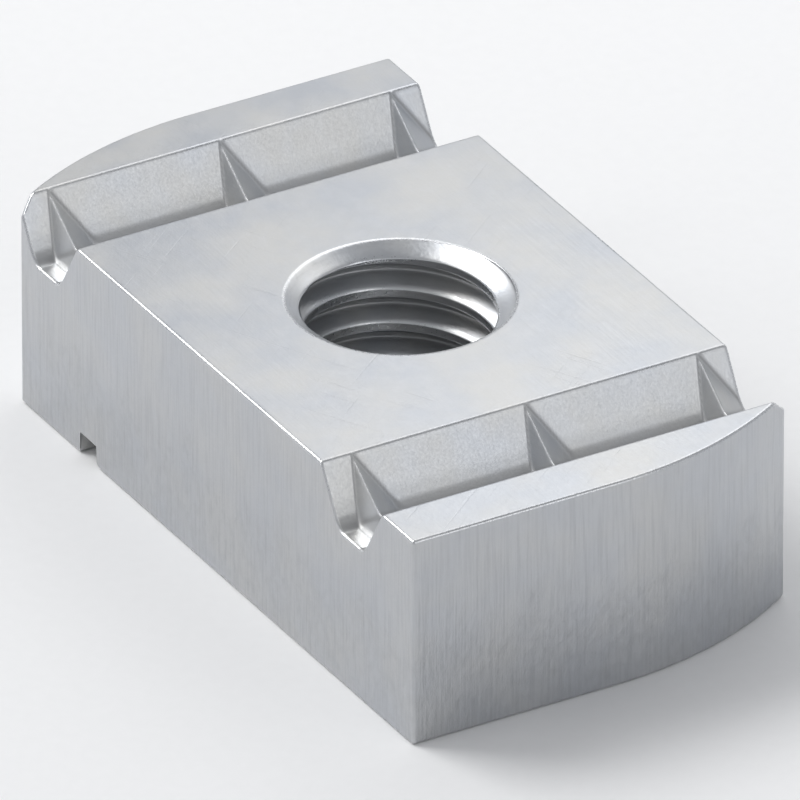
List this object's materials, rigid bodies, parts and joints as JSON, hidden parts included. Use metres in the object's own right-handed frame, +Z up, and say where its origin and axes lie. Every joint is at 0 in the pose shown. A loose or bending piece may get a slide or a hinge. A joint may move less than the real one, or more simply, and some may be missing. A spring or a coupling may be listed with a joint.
{
  "type": "springless channel nut",
  "caption": "Thick steel strut-channel nut with a threaded hole, toothed grooves across its top that bite the channel's inturned lips, and rounded corners that let it twist into the slot.",
  "frame": {"origin": "on the thread's axis, in the flat underside", "axes": "+X along the nut's length, +Y along its grooves, +Z up through the thread to the grooved top"},
  "size_m": [0.035, 0.019, 0.0095],
  "materials": {
    "plated_steel": "bright zinc plating, satin"
  },
  "bodies": {
    "root": {"channel_nut": "plated_steel"}
  },
  "joints": []
}
